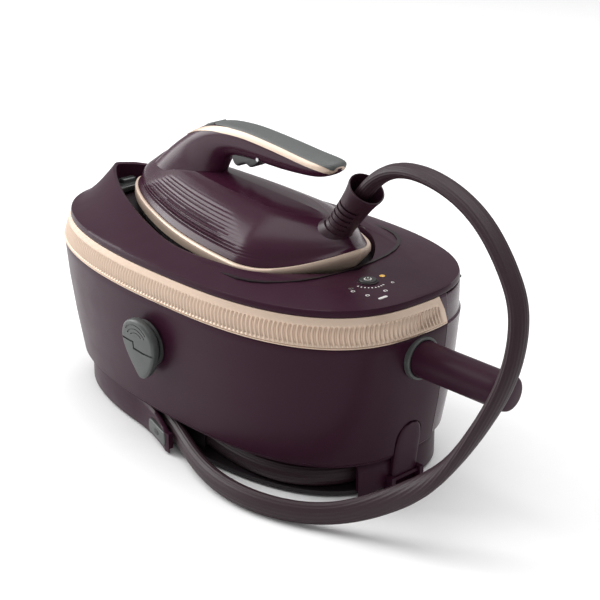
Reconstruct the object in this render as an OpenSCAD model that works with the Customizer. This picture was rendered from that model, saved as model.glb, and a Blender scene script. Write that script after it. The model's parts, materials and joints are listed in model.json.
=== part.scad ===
/* [Base] */
// Length of the base shell without the rear post
base_length = 365; // [360:1:370]
// Nose end to base centre
base_nose = 208.5; // [206:0.5:211]
// Width of the base shell below the trim band
base_width = 194; // [190:1:198]
// Height of the lower housing rim
rim_z = 119; // [117:0.5:121]
// Height of the trim band
band_height = 21.8; // [20:0.2:23]
// Wall thickness of the housings
wall = 3; // [2.5:0.1:3.5]
// Underside of the lower housing
floor_z = 25; // [24.6:0.1:25.4]

/* [Iron] */
// Length of the soleplate
sole_length = 232; // [230:1:234]
// Width of the sole trim
iron_width = 119; // [116:1:121]
// Nose-up angle of the docked iron
iron_pitch = 3.3; // [3.1:0.1:3.4]
// Height of the sole plane at the nose
iron_z = 148; // [147.8:0.1:148.4]
// Rise of the trim's tail behind the sole
tail_rise = 19; // [17:0.5:20]
// Lift that takes the iron clear of the dock
iron_lift = 80; // [40:5:120]

/* [Hose] */
// Wide side of the oval hose
hose_wide = 16.5; // [15:0.1:16.5]
// Narrow side of the oval hose
hose_thin = 10.5; // [9:0.1:10.5]

/* [Rear post] */
// Diameter of the rear post
post_d = 26; // [24:0.5:26]
// Height of the post axis
post_z = 102; // [100:0.5:103]
// Tip of the post from base centre
post_tip = 236; // [230:1:237]

/* [Knob and buttons] */
// Diameter of the drain plug
plug_d = 12; // [11:0.5:13]
// Radial running clearance of turning and sliding pieces
run = 0.05; // [0.03:0.01:0.08]
// Diameter of the power button
power_d = 12; // [11:0.5:13]

/* [Hidden] */
shift_x = 13.25;
shift_y = 5.09;
base_tail = base_length - base_nose;
half_w = base_width / 2;
band_z0 = rim_z + 0.2;
band_z1 = band_z0 + band_height;
deck_z0 = band_z1 + 0.2;
bay_y = 27.5;
nose_n = 2.39;
tail_n = 2.64;

module place() translate([-shift_x, shift_y, 0]) children();
module iron_place() place() translate([-156, 0, iron_z]) rotate([0, iron_pitch, 0]) children();

// Closed oval outline: separate nose and tail lengths, in = inward offset
function oval(f, r, b, n = 96) = [
  for (i = [0:n - 1])
    let (c = cos(360 * i / n), s = sin(360 * i / n), e = c < 0 ? nose_n : tail_n, a = c < 0 ? f : r)
    [a * sign(c) * pow(abs(c), 2 / e), b * sign(s) * pow(abs(s), 2 / e)]
];
function lift(pts, z) = [for (p = pts) [p.x, p.y, z]];

// Solid through rings of equal point count
module loft(rings) {
  n = len(rings[0]);
  m = len(rings);
  polyhedron(
    points = [for (r = rings) for (p = r) p],
    faces = concat(
      [for (j = [0:m - 2]) for (i = [0:n - 1]) [j * n + i, (j + 1) * n + i, j * n + (i + 1) % n]],
      [for (j = [0:m - 2]) for (i = [0:n - 1]) [j * n + (i + 1) % n, (j + 1) * n + i, (j + 1) * n + (i + 1) % n]],
      [[for (i = [0:n - 1]) i]],
      [[for (i = [0:n - 1]) m * n - 1 - i]]
    )
  );
}

// Sections of the base shell: height, nose, tail, half width
function shell_sizes(d) = [
  [floor_z, base_nose - 17 - d, base_tail - 14 - d, half_w - 12 - d],
  [floor_z + 3, base_nose - 14 - d, base_tail - 11.5 - d, half_w - 9 - d],
  [60, base_nose - 8 - d, base_tail - 6 - d, half_w - 4.5 - d],
  [90, base_nose - 3 - d, base_tail - 2.5 - d, half_w - 1.8 - d],
  [rim_z, base_nose - d, base_tail - d, half_w - d]
];
function shell_rings(d, n = 64) = [for (s = shell_sizes(d)) lift(oval(s[1], s[2], s[3], n), s[0])];

module shell_solid(d) loft(shell_rings(d));
module shell_cavity() loft(concat(
  [lift(oval(base_nose - 14 - wall, base_tail - 11.5 - wall, half_w - 9 - wall, 64), floor_z + wall)],
  [for (k = [2:4]) shell_rings(wall)[k]],
  [lift(oval(base_nose - wall, base_tail - wall, half_w - wall, 64), rim_z + 1)]
));
module bay_box() translate([24, bay_y, floor_z + 5]) cube([180, 120, 101]);

// Half width of the sole shape along its length, t from nose 0 to heel 1
function sole_w(t, p = 0.65, m = 0.8) = t < m ? pow(sin(90 * t / m), p) : pow(max(0, 1 - pow((t - m) / (1 - m), 2.3)), 1 / 2.3);
function sole_ring(x0, x1, w, z = 0, p = 0.65, m = 0.8, n = 20) = concat(
  [for (i = [0:n - 1]) let (t = (1 - cos(180 * i / n)) / 2) [x0 + (x1 - x0) * t, -w * sole_w(t, p, m), z]],
  [for (i = [n:-1:1]) let (t = (1 - cos(180 * i / n)) / 2) [x0 + (x1 - x0) * t, w * sole_w(t, p, m), z]]
);
// The iron's own outline, a point at the nose and a rounded V at the heel; rise lifts the heel end
function hull_w(t) = t < 0.734 ? pow(1 - pow(1 - t / 0.734, 2.2), 1 / 1.2) : pow(max(0, 1 - pow((t - 0.734) / 0.266, 1.65)), 1 / 1.2);
function rise(x) = tail_rise * pow(max(0, x - 196) / 56, 1.8);
function hull_ring(x0, x1, w, z, k = 0, n = 24) = concat(
  [for (i = [0:n - 1]) let (t = (1 - cos(180 * i / n)) / 2, x = x0 + (x1 - x0) * t) [x, -w * hull_w(t), z + k * rise(x)]],
  [for (i = [n:-1:1]) let (t = (1 - cos(180 * i / n)) / 2, x = x0 + (x1 - x0) * t) [x, w * hull_w(t), z + k * rise(x)]]
);
// Solid through hull rings, its two ends closed by strips across the width
module hull_loft(rings) {
  n = len(rings[0]);
  m = len(rings);
  h = n / 2;
  polyhedron(
    points = [for (r = rings) for (p = r) p],
    faces = concat(
      [for (j = [0:m - 2]) for (i = [0:n - 1]) [j * n + i, (j + 1) * n + i, j * n + (i + 1) % n]],
      [for (j = [0:m - 2]) for (i = [0:n - 1]) [j * n + (i + 1) % n, (j + 1) * n + i, (j + 1) * n + (i + 1) % n]],
      [for (i = [0:h - 1]) [i, i + 1, n - 1 - i]],
      [for (i = [1:h - 1]) [i, n - 1 - i, n - i]],
      [for (i = [0:h - 1]) [(m - 1) * n + i + 1, (m - 1) * n + i, m * n - 1 - i]],
      [for (i = [1:h - 1]) [m * n - 1 - i, (m - 1) * n + i, m * n - i]]
    )
  );
}
function flat(pts) = [for (p = pts) [p.x, p.y]];

// Tube with an oval section through hand placed points [x, y, z, wide-axis]
function cr(a, b, c, d, t) = 0.5 * ((2 * b) + (c - a) * t + (2 * a - 5 * b + 4 * c - d) * t * t + (3 * b - a - 3 * c + d) * t * t * t);
function pick(v, i) = v[max(0, min(len(v) - 1, i))];
function along(v, s, t) = cr(pick(v, s - 1), pick(v, s), pick(v, s + 1), pick(v, s + 2), t);
function refine(v, k) = concat([for (s = [0:len(v) - 2]) for (j = [0:k - 1]) along(v, s, j / k)], [v[len(v) - 1]]);
function unit(v) = v / norm(v);
function tangent(v, i) = unit(pick(v, i + 1) - pick(v, i - 1));
function square_to(w, t) = unit(w - (w * t) * t);
function aim(v, i, t0, t1) = i == 0 && norm(t0) > 0 ? t0 : i == len(v) - 1 && norm(t1) > 0 ? t1 : tangent(v, i);
function tube_rings(pts, wide, a, b, n, t0, t1) = [
  for (i = [0:len(pts) - 1])
    let (t = aim(pts, i, t0, t1), w = square_to(wide[i], t), s = cross(t, w))
    [for (k = [0:n - 1]) pts[i] + w * (a * cos(360 * k / n)) + s * (b * sin(360 * k / n))]
];
module tube(pts, wide, a, b, n = 12, t0 = [0, 0, 0], t1 = [0, 0, 0])
  loft(tube_rings(pts, wide, a, b, n, t0, t1));
function same(v, pts) = [for (p = pts) v];

upright = [0, 0, 1];
level = [0, 1, 0];
upper_route = [
  [78.6, 0, 179.5], [90, 0, 194.3], [102, 0, 209.8], [112, 0, 220.5], [126, 0, 228.5], [142, 0, 232],
  [161, 0, 231], [180, -1, 227], [197, -1.5, 220], [212, -2.5, 210], [225, -4, 197], [236, -6, 183],
  [244, -8, 172], [250, -12, 158]
];
lower_route = [
  [250, -12, 157.99], [254, -20, 138], [253, -28, 119], [246, -37, 99], [237, -46, 76], [224, -54, 56],
  [206, -61, 40], [185, -69, 26], [163, -80, 14], [140, -93, 9], [110, -105, 8.7], [80, -108, 8.7],
  [50, -104, 9], [22, -95, 11.5], [-6, -83.5, 13.8], [-26, -75.5, 13.8], [-50, -70.5, 13.8], [-90, -64.5, 13.8],
  [-125, -55, 13.8], [-150, -42.5, 13.8], [-167, -24, 13.8], [-173, 0, 13.8], [-167, 24, 13.8],
  [-150, 42.5, 13.8], [-125, 55, 13.8], [-90, 64.5, 13.8], [-50, 69.5, 13.8], [0, 71, 13.8], [40, 70, 13.8],
  [80, 62.5, 13.8], [105, 50.5, 13.8], [120, 35, 13.8], [128, 12, 13.8], [128, -12, 13.8], [124, -36, 13.8],
  [112, -58, 13.8], [88, -73, 13.8], [52, -76, 13.8], [14, -69.5, 13.8]
];
lower_wide = [for (i = [0:len(lower_route) - 1]) i < 3 ? level : i < 8 ? unit(level * (8 - i) + upright * (i - 2)) : upright];
split_aim = unit([5, -7, -20]);
upper_pts = refine(upper_route, 2);
lower_pts = refine(lower_route, 2);
upper_w = same(level, upper_pts);
lower_w = refine(lower_wide, 2);

// Top line of the handle and the line under it, in the iron's own frame
handle_top = [
  [34, 43], [46, 52], [59, 61.7], [72, 70.6], [90, 80], [110, 86.4], [130, 88.8], [148, 89.4], [189, 87.7], [219, 87],
  [226, 86]
];
handle_under = [[222, 78.3], [205, 71.9], [175, 67.8], [142, 66], [122, 62.5], [112, 58.9], [106, 52], [102, 44], [60, 38], [40, 36]];
function lower_by(v, d) = [for (p = v) [p.x, p.y - d]];
function reversed(v) = [for (i = [len(v) - 1:-1:0]) v[i]];
function from_x(v, x) = [for (p = v) if (p.x >= x) p];

module side_slab(poly, y0, y1) translate([0, y1, 0]) rotate([90, 0, 0]) linear_extrude(y1 - y0) polygon(poly);

module base_tray() color("#2c1c24") place() {
  difference() {
    translate([0, 0, 2]) linear_extrude(3) polygon(oval(base_nose - 23.5, base_tail - 16.5, half_w - 14));
    for (x = [-140, 90]) for (y = [-34, 34]) translate([x, y, 1]) cylinder(h = 5, r = 2.2, $fn = 48);
  }
  difference() {
    translate([0, 0, 5]) linear_extrude(floor_z - 5) polygon(oval(base_nose - 44.5, base_tail - 37.5, half_w - 35));
    translate([0, 0, 4]) linear_extrude(floor_z) polygon(oval(base_nose - 47.5, base_tail - 40.5, half_w - 38));
  }
}

function flare(p) = p.y < 0 && p.x > -64 ? [p.x, p.y - 12 * pow((min(p.x, -8) + 64) / 56, 2)] : p;
module latch_frame() translate([-22, -half_w + 14 - 6.6, 11.4]) rotate([0, 0, -16]) children();
module channel_skirt() color("#33202a") place() difference() {
  translate([0, 0, 5]) linear_extrude(floor_z - 5.2)
    polygon([for (p = oval(base_nose - 23.5, base_tail - 16.5, half_w - 14, 240)) flare(p)]);
  translate([0, 0, 4]) linear_extrude(30)
    polygon([for (p = oval(base_nose - 26.5, base_tail - 19.5, half_w - 17, 240)) flare(p)]);
  translate([-7, -130, 0]) cube([220, 103, 40]);
  latch_frame() translate([-16.1, -10, -5.5]) cube([32.2, 20, 11]);
}

module rubber_feet() color("#1c1c1e") place() for (x = [-140, 90]) for (y = [-34, 34])
  translate([x, y, 0]) {
    cylinder(h = 2, r = 9, $fn = 64);
    translate([0, 0, 2]) cylinder(h = 3, r = 2.2, $fn = 48);
  }

module knob_frame() place() translate([-23, -half_w + 2.7, 85]) rotate([5.2, 0, -1.5]) rotate([90, 0, 0]) children();

module lower_housing() color("#472b3a") difference() {
  place() difference() {
    shell_solid(0);
    shell_cavity();
    bay_box();
    translate([140, 0, post_z]) rotate([0, 90, 0]) cylinder(h = 40, r = post_d / 2 + 0.05, $fn = 128);
    translate([-2, -69, floor_z - 1]) cylinder(h = 6, r = 7, $fn = 64);
    translate([-120, 60, floor_z - 1]) cylinder(h = 6, r = 6, $fn = 64);
  }
  knob_frame() translate([0, 0, -12]) cylinder(h = 30, r = 16, $fn = 96);
}

module trim_band() color("#cdb59e") place() difference() {
  loft([
    lift(oval(base_nose + 0.4, base_tail + 0.4, half_w + 0.4), band_z0),
    lift(oval(base_nose + 1.0, base_tail + 1.0, half_w + 1.0), band_z0 + 1.5),
    lift(oval(base_nose + 0.9, base_tail + 0.6, half_w + 0.6), band_z0 + 12),
    lift(oval(base_nose - 1.0, base_tail - 1.6, half_w - 1.4), band_z1)
  ]);
  translate([0, 0, 110]) linear_extrude(50) polygon(oval(base_nose - 7, base_tail - 7, half_w - 7));
  translate([24, bay_y, 110]) cube([180, 120, 50]);
}

module tank_bay() color("#3a2430") place() {
  intersection() {
    translate([0, 0, floor_z + wall]) linear_extrude(rim_z - floor_z - wall)
      polygon(oval(base_nose - 20, base_tail - 15.5, half_w - 13));
    union() {
      translate([21, bay_y - 2, 0]) cube([3, 120, 200]);
      translate([21, bay_y - 2, 0]) cube([160, 2, 200]);
    }
  }
}

module deck_limit() side_slab([
  [-215, deck_z0], [-215, 166], [-186, 165], [-150, 161.5], [60, 150.5], [100, 150], [160, 146.5], [160, deck_z0]
], -120, 120);
module dock_well() translate([0, 0, 120]) linear_extrude(70) polygon(flat(sole_ring(-188, 93.5, 76.5, 0, 0.85, 0.82, 28)));

module upper_housing() color("#4a2e3c") place() difference() {
  intersection() {
    loft([
      lift(oval(base_nose - 1.4, base_tail - 2, half_w - 1.8, 72), deck_z0),
      lift(oval(base_nose - 4, base_tail - 4, half_w - 5, 72), 147),
      lift(oval(base_nose - 9, base_tail - 8, half_w - 9.5, 72), 151),
      lift(oval(base_nose - 17.5, base_tail - 16, half_w - 14.5, 72), 157.5),
      lift(oval(base_nose - 27, base_tail - 28, half_w - 21, 72), 164)
    ]);
    deck_limit();
  }
  dock_well();
  translate([114, -10, 130]) cylinder(h = 15.6, r = 20.8, $fn = 96);
  translate([114, -10, 140]) cylinder(h = 30, r = 7.5, $fn = 96);
  translate([114, 4, 140]) cylinder(h = 30, r = 2.2, $fn = 48);
  translate([116, -28, 140]) cylinder(h = 30, r = 2.2, $fn = 48);
  translate([139.2, -26, 140]) cube([2.6, 8, 30]);
}

module dock_pan() color("#2a1a22") place() difference() {
  translate([0, 0, 129]) linear_extrude(21.2) polygon(flat(sole_ring(-187.8, 93.3, 76.3, 0, 0.85, 0.82, 28)));
  translate([-156, 0, iron_z]) rotate([0, iron_pitch, 0]) translate([-60, -100, -2.3]) intersection() {
    cube([400, 200, 60]);
    translate([60, 100, 0]) linear_extrude(60) polygon(flat(sole_ring(-26, 246.5, 73.5, 0, 0.85, 0.82, 28)));
  }
  translate([-176.1, -7.1, 140]) cube([7.7, 14.2, 40]);
}

module dock_mat() color("#5d5a5e") iron_place() translate([0, 0, -2.2])
  linear_extrude(2.1) polygon(flat(hull_ring(8, 230, 52, 0)));

module post_collar() color("#6d6a70") place() translate([base_tail + 0.1, 0, post_z]) rotate([0, 90, 0]) difference() {
  cylinder(h = 5, r = post_d / 2 + 3.5, $fn = 128);
  translate([0, 0, -1]) cylinder(h = 8, r = post_d / 2, $fn = 128);
}
module storage_post() color("#43283a") place() translate([base_tail - wall - 4, 0, post_z]) rotate([0, 90, 0]) difference() {
  cylinder(h = post_tip - 3 - base_tail + wall + 4, r = post_d / 2, $fn = 128);
  translate([0, 0, -1]) cylinder(h = post_tip - 3 - base_tail + wall + 2, r = post_d / 2 - 2.5, $fn = 128);
}
module post_cap() color("#3a2230") place() translate([post_tip - 3, 0, post_z]) rotate([0, 90, 0])
  rotate_extrude($fn = 128) polygon([[0, 0], [post_d / 2, 0], [post_d / 2, 1], [post_d / 2 - 2, 3], [0, 3]]);

module control_fascia() color("#201a1e") place() translate([0, 0, 143.4]) difference() {
  union() {
    translate([114, -10, 0]) cylinder(h = 2, r = 20.6, $fn = 96);
    translate([100, -3, -6]) cube([4, 4, 6]);
  }
  translate([114, -10, -1]) cylinder(h = 4, r = power_d / 2 + run, $fn = 96);
}
module power_ring() color("#8b8a8e") place() translate([114, -10, 145.5]) difference() {
  cylinder(h = 5, r = 7.4, $fn = 96);
  translate([0, 0, -1]) cylinder(h = 7, r = power_d / 2 + run, $fn = 96);
}
module ready_lens() color("#d9a93c") place() translate([114, 4, 145.5]) cylinder(h = 4.9, r = 2.1, $fn = 48);
module calc_lens() color("#3a2a2a") place() translate([116, -28, 145.5]) cylinder(h = 4.7, r = 2.1, $fn = 48);
module light_bar() color("#e8e4de") place() translate([139.3, -25.9, 143]) cube([2.4, 7.8, 5.4]);
module power_button() color("#9a989c") place() translate([114, -10, 141.4]) cylinder(h = 10, r = power_d / 2, $fn = 96);

module decalc_socket() color("#8c8f90") knob_frame() difference() {
  union() {
    translate([0, 0, -52]) cylinder(h = 52, r = plug_d / 2 + 3, $fn = 96);
    translate([0, 0, -6]) cylinder(h = 8, r = 15.8, $fn = 96);
  }
  translate([0, 0, -53]) cylinder(h = 60, r = plug_d / 2 + run, $fn = 96);
}
module decalc_plug() color("#54585a") knob_frame() {
  translate([0, 0, -40]) cylinder(h = 48.8, r = plug_d / 2, $fn = 96);
}
knob_shape = [
  [-3, -26], [3, -25.5], [10, -19], [16.5, -8], [19, 2], [17.5, 11], [11, 17.5], [3, 20.5], [-5.5, 20], [-13.5, 16],
  [-18, 9], [-19, 1], [-15.5, -9], [-9, -19]
];
module decalc_knob() color("#6e7475") knob_frame() difference() {
  translate([0, 0, 4.6]) linear_extrude(7.4) polygon(knob_shape);
  translate([0, 0, 4]) cylinder(h = 5, r = plug_d / 2 + run, $fn = 96);
}

module steam_boiler() color("#a9a9ab") place() difference() {
  union() {
    translate([-150, 0, 62]) rotate([0, 90, 0]) cylinder(h = 104, r = 31, $fn = 128);
    translate([-100, 0, 90]) cylinder(h = 7, r = 10, $fn = 64);
  }
  translate([-147, 0, 62]) rotate([0, 90, 0]) cylinder(h = 98, r = 28.5, $fn = 128);
  translate([-100, 0, 85]) cylinder(h = 20, r = 4, $fn = 64);
}
module boiler_heater() color("#6f6a66") place() translate([-130, 0, 62]) rotate([0, 90, 0]) difference() {
  cylinder(h = 12, r = 33.5, $fn = 128);
  translate([0, 0, -1]) cylinder(h = 14, r = 31, $fn = 128);
}
module boiler_thermostat() color("#d8d4cc") place() translate([-70, 0, 93.2]) {
  cylinder(h = 3, r = 12, $fn = 64);
  translate([0, 0, 3]) cylinder(h = 9, r = 8, $fn = 64);
}
module solenoid_valve() color("#3d3d42") place() {
  translate([-111, -11, 97]) cube([22, 22, 12]);
  translate([-100, 0, 109]) cylinder(h = 18, r = 9, $fn = 64);
}
pipe_route = [[-88.9, 0, 103], [-70, -14, 110], [-44, -19, 108], [-14, -26, 101],
  [8, -42, 84], [5, -60, 62], [-2, -69, 50], [-2, -69, 40]];
module steam_pipe() color("#cfcfd2") place()
  tube(refine(pipe_route, 3), same([0.3, 0.2, 1], refine(pipe_route, 3)), 3.5, 3.5, 12, [1, 0, 0], [0, 0, -1]);
module water_pump() color("#33363a") place() {
  translate([36, -36, 52]) rotate([0, 90, 0]) cylinder(h = 46, r = 17, $fn = 96);
  translate([30, -36, 52]) rotate([0, 90, 0]) cylinder(h = 6, r = 6, $fn = 64);
  translate([40, -50, 28]) cube([38, 28, 9]);
}
feed_route = [[30, -36, 52], [16, -34, 52], [0, -24, 54], [-14, -8, 58], [-28, 0, 61], [-46, 0, 62]];
module feed_pipe() color("#d9d6cf") place()
  tube(refine(feed_route, 3), same([0, 0.2, 1], refine(feed_route, 3)), 3, 3, 12, [-1, 0, 0], [-1, 0, 0]);
module control_board() color("#2f5a3a") place() {
  translate([88, -52, 100]) cube([42, 64, 1.6]);
  translate([94, -44, 101.6]) cube([14, 12, 10]);
  translate([116, -30, 101.6]) cylinder(h = 14, r = 5, $fn = 48);
  translate([98, -8, 101.6]) cube([20, 14, 6]);
}

module hose_outlet() color("#4c4a4e") place() {
  difference() {
    translate([-9, -75.5, 5]) cube([23, 13, 18.4]);
    translate([-2, -69, 12]) cylinder(h = 20, r = 3.5, $fn = 48);
  }
  difference() {
    translate([-2, -69, 23.4]) cylinder(h = 16.6, r = 6.9, $fn = 64);
    translate([-2, -69, 20]) cylinder(h = 21, r = 3.5, $fn = 48);
  }
}
module hose_lower() color("#34222b") place() tube(lower_pts, lower_w, hose_wide / 2, hose_thin / 2, 12, split_aim, [-1, 0, 0]);
module hose_upper() color("#34222b") place() tube(upper_pts, upper_w, hose_wide / 2, hose_thin / 2, 12, [0, 0, 0], split_aim);

module carry_lock() color("#707477") place() translate([-176, -7, 143.5]) cube([7.5, 14, 12.5]);
module hose_latch() color("#777c7e") place() latch_frame() translate([-16, -2.8, -5.4]) cube([32, 3.8, 10.8]);
module rear_latch() color("#3d2533") place() difference() {
  side_slab([
    [base_tail - 15.2, 5.6], [base_tail - 15.2, 23.6], [base_tail - 9.6, 28.6], [base_tail - 5, 51],
    [base_tail - 1, 51], [base_tail - 4.5, 30], [base_tail - 9.5, 22], [base_tail - 9.5, 5.6]
  ], -12, 12);
  clip_axis(1.2 + run);
}
module clip_axis(r) translate([144.3, 16, 8]) rotate([90, 0, 0]) cylinder(h = 32, r = r, $fn = 64);
module clip_bracket() color("#4c4a4e") place() {
  translate([130, -16, 0.5]) cube([17.3, 32, 1.5]);
  translate([141, -16, 0.5]) cube([6.3, 3.7, 10.5]);
  translate([141, 12.3, 0.5]) cube([6.3, 3.7, 10.5]);
  clip_axis(1.2);
}

module tank_solid(d) {
  intersection() {
    union() {
      shell_solid(0.2 + d);
      translate([0, 0, rim_z - d - 0.01]) linear_extrude(21.2 - d) polygon(oval(base_nose - 1.4 - d, base_tail - 1.4 - d, half_w - 1.4 - d, 64));
    }
    union() {
      translate([25 + d, bay_y + 1 + d, floor_z + 6 + d]) cube([180, 120, 96.5 - 2 * d]);
      translate([25 + d, 78 + d, 60]) cube([180, 60, 80 - d]);
      translate([97 + d, bay_y + 1 + d, 60]) cube([80, 120, 80 - d]);
    }
  }
}
module water_tank() color("#4b3040") place() difference() {
  tank_solid(0);
  tank_solid(2.5);
  translate([60, 50, 20]) cylinder(h = 20, r = 7, $fn = 64);
  translate([110, 40, 130]) cube([24, 24, 20]);
}
module tank_valve() color("#c9c9c4") place() translate([60, 50, floor_z + 6]) cylinder(h = 9, r = 7, $fn = 64);
module filler_cap() color("#6d4a5c") place() {
  translate([110.2, 40.2, 138]) cube([23.6, 23.6, 1.8]);
}

module soleplate() color("#b9bcc0") iron_place() linear_extrude(4.4)
  polygon(flat(hull_ring(3, 3 + sole_length, iron_width / 2 - 2.5, 0, 0, 36)));
module sole_trim() color("#d2b9a3") iron_place() difference() {
  hull_loft([
    hull_ring(1, 237, iron_width / 2 - 1.5, 4.5),
    hull_ring(0, 252, iron_width / 2, 6.5, 0.9),
    hull_ring(1.5, 250, iron_width / 2 - 1.6, 13, 1)
  ]);
  translate([0, 0, 1]) linear_extrude(60) polygon(flat(hull_ring(16, 240, iron_width / 2 - 9, 0)));
}
module heater_block() color("#9fa3a6") iron_place() translate([0, 0, 4.5]) linear_extrude(8) polygon(flat(hull_ring(28, 214, iron_width / 2 - 17, 0)));
module iron_thermostat() color("#d6d2c8") iron_place() translate([150, 0, 12.5]) cylinder(h = 12, r = 9, $fn = 64);

module iron_outer() hull_loft([
  hull_ring(3.5, 248.5, iron_width / 2 - 3, 13.1, 1),
  hull_ring(7, 246, iron_width / 2 - 5.5, 18, 0.82),
  hull_ring(11, 243, iron_width / 2 - 11.5, 26, 0.5),
  hull_ring(21, 238, iron_width / 2 - 21.5, 34, 0.25),
  hull_ring(29, 230, iron_width / 2 - 33, 40, 0.05),
  hull_ring(36, 218, iron_width / 2 - 46, 44.5)
]);
module iron_inner() hull_loft([
  hull_ring(16, 212, iron_width / 2 - 8.5, 12),
  hull_ring(20, 211, iron_width / 2 - 10.5, 18),
  hull_ring(28, 209, iron_width / 2 - 17, 24),
  hull_ring(36, 206, iron_width / 2 - 27, 31),
  hull_ring(44, 203, iron_width / 2 - 38, 36.5)
]);
module boot_frame() translate([221.1, 0, 28.5]) rotate([0, 34.4, 0]) children();
module button_slot() translate([87.5, -6.6, 60]) cube([13, 13.2, 40]);
module pin_axis(r) translate([152, 0, 70.5]) rotate([90, 0, 0]) cylinder(h = 20, r = r, center = true, $fn = 48);
module iron_housing() color("#4e3140") iron_place() difference() {
  iron_outer();
  iron_inner();
  boot_frame() translate([0, 0, -8]) cylinder(h = 40, r = 9.2, $fn = 96);
}
module handle_core() color("#4a2d3b") iron_place() difference() {
  side_slab(concat(lower_by(handle_top, 6.5), handle_under), -11.2, 11.2);
  iron_outer();
  translate([117, -7, 55]) cube([39, 14, 20]);
  pin_axis(1.5);
  button_slot();
}
module handle_trim() color("#d2b9a3") iron_place() difference() {
  side_slab(concat(lower_by(handle_top, 3), reversed(lower_by(handle_top, 6.5))), -12, 12);
  iron_outer();
  button_slot();
}
module handle_grip() color("#7b8183") iron_place() difference() {
  side_slab(concat(from_x(handle_top, 70), reversed(lower_by(from_x(handle_top, 70), 3))), -11.4, 11.4);
  button_slot();
}
module front_button() color("#2b2a2d") iron_place() translate([87.6, -6.5, 66]) cube([12.8, 13, 18]);
module trigger_pin() color("#c4c6c8") iron_place() pin_axis(1.5);
module steam_trigger() color("#2d2a2e") iron_place() difference() {
  side_slab([
    [119, 62], [121, 58.5], [125.5, 57.5], [130.5, 60], [134.5, 61.5], [139.5, 60.5], [144.5, 62.5], [150, 67],
    [154.5, 68.5], [154.5, 72.5], [144, 70.5], [120, 67]
  ], -6, 6);
  pin_axis(1.5 + run);
}
module hose_boot() color("#3b2531") iron_place() boot_frame() difference() {
  rotate_extrude($fn = 96) polygon([[0, -5], [9.2, -5], [9.2, 18], [10.4, 24], [10.8, 38], [12, 50], [13.2, 56], [12.6, 58], [0, 58]]);
  translate([0, 0, 20]) cylinder(h = 45, r = 8.6, $fn = 96);
  translate([0, 0, 48]) cylinder(h = 12, r1 = 8.6, r2 = 12, $fn = 96);
  translate([0, 0, -6]) cylinder(h = 40, r = 3, $fn = 48);
}

base_tray();
channel_skirt();
rubber_feet();
lower_housing();
trim_band();
tank_bay();
upper_housing();
dock_pan();
dock_mat();
post_collar();
storage_post();
post_cap();
control_fascia();
power_ring();
ready_lens();
calc_lens();
light_bar();
decalc_socket();
steam_boiler();
boiler_heater();
boiler_thermostat();
solenoid_valve();
steam_pipe();
water_pump();
feed_pipe();
control_board();
hose_outlet();
hose_lower();
power_button();
carry_lock();
hose_latch();
rear_latch();
clip_bracket();
decalc_plug();
decalc_knob();
water_tank();
tank_valve();
filler_cap();
soleplate();
sole_trim();
heater_block();
iron_thermostat();
iron_housing();
handle_core();
handle_trim();
handle_grip();
hose_boot();
trigger_pin();
hose_upper();
steam_trigger();
front_button();
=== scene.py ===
import bpy, bmesh, json, math
import numpy as np
from mathutils import Vector, Matrix
from mathutils.bvhtree import BVHTree


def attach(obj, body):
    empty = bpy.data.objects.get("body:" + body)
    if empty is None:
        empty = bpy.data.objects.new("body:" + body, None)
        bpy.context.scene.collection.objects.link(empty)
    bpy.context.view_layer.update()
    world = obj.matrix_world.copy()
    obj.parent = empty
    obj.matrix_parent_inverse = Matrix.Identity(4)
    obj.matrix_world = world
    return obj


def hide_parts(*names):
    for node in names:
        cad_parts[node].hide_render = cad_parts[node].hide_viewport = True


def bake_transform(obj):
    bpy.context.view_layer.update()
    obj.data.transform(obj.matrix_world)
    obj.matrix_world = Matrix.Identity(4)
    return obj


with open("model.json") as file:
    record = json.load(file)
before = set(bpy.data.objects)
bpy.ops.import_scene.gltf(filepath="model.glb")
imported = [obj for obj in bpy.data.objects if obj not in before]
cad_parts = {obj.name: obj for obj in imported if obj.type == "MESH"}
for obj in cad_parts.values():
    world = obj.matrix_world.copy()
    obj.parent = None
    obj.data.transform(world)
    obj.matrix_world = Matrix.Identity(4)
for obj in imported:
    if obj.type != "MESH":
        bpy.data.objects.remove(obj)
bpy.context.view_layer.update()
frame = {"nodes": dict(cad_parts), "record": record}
NODES = frame["nodes"]
scene = bpy.context.scene
MM = 0.001
SX, SY = 13.25, 5.09        # the frame's shift, as in part.scad


def W(x, y, z):
    """Working coordinates of part.scad in mm to the row frame in metres."""
    return Vector(((x - SX) * MM, (y + SY) * MM, z * MM))


PITCH = math.radians(3.3)


def IW(x, y, z):
    """The iron's own coordinates in mm to working coordinates in mm."""
    c, s = math.cos(PITCH), math.sin(PITCH)
    return (-156 + x * c + z * s, y, 148 - x * s + z * c)


def I(x, y, z):
    return W(*IW(x, y, z))


# ---------------------------------------------------------------- camera
AZ, EL = math.radians(47.48), math.radians(21.6)
cam_data = bpy.data.cameras.new("camera")
cam = bpy.data.objects.new("camera", cam_data)
scene.collection.objects.link(cam)
right = Vector((math.cos(AZ), math.sin(AZ), 0))
back = Vector((math.sin(AZ) * math.cos(EL), -math.cos(AZ) * math.cos(EL), math.sin(EL)))
up = back.cross(right)
rot = Matrix((right, up, back)).transposed().to_4x4()
cam.matrix_world = Matrix.Translation((0.8001, -0.709, 0.527)) @ rot
cam_data.sensor_width = 36
cam_data.lens = 93.2
cam_data.clip_start, cam_data.clip_end = 0.05, 20
scene.camera = cam

# ---------------------------------------------------------------- mesh helpers


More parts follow.
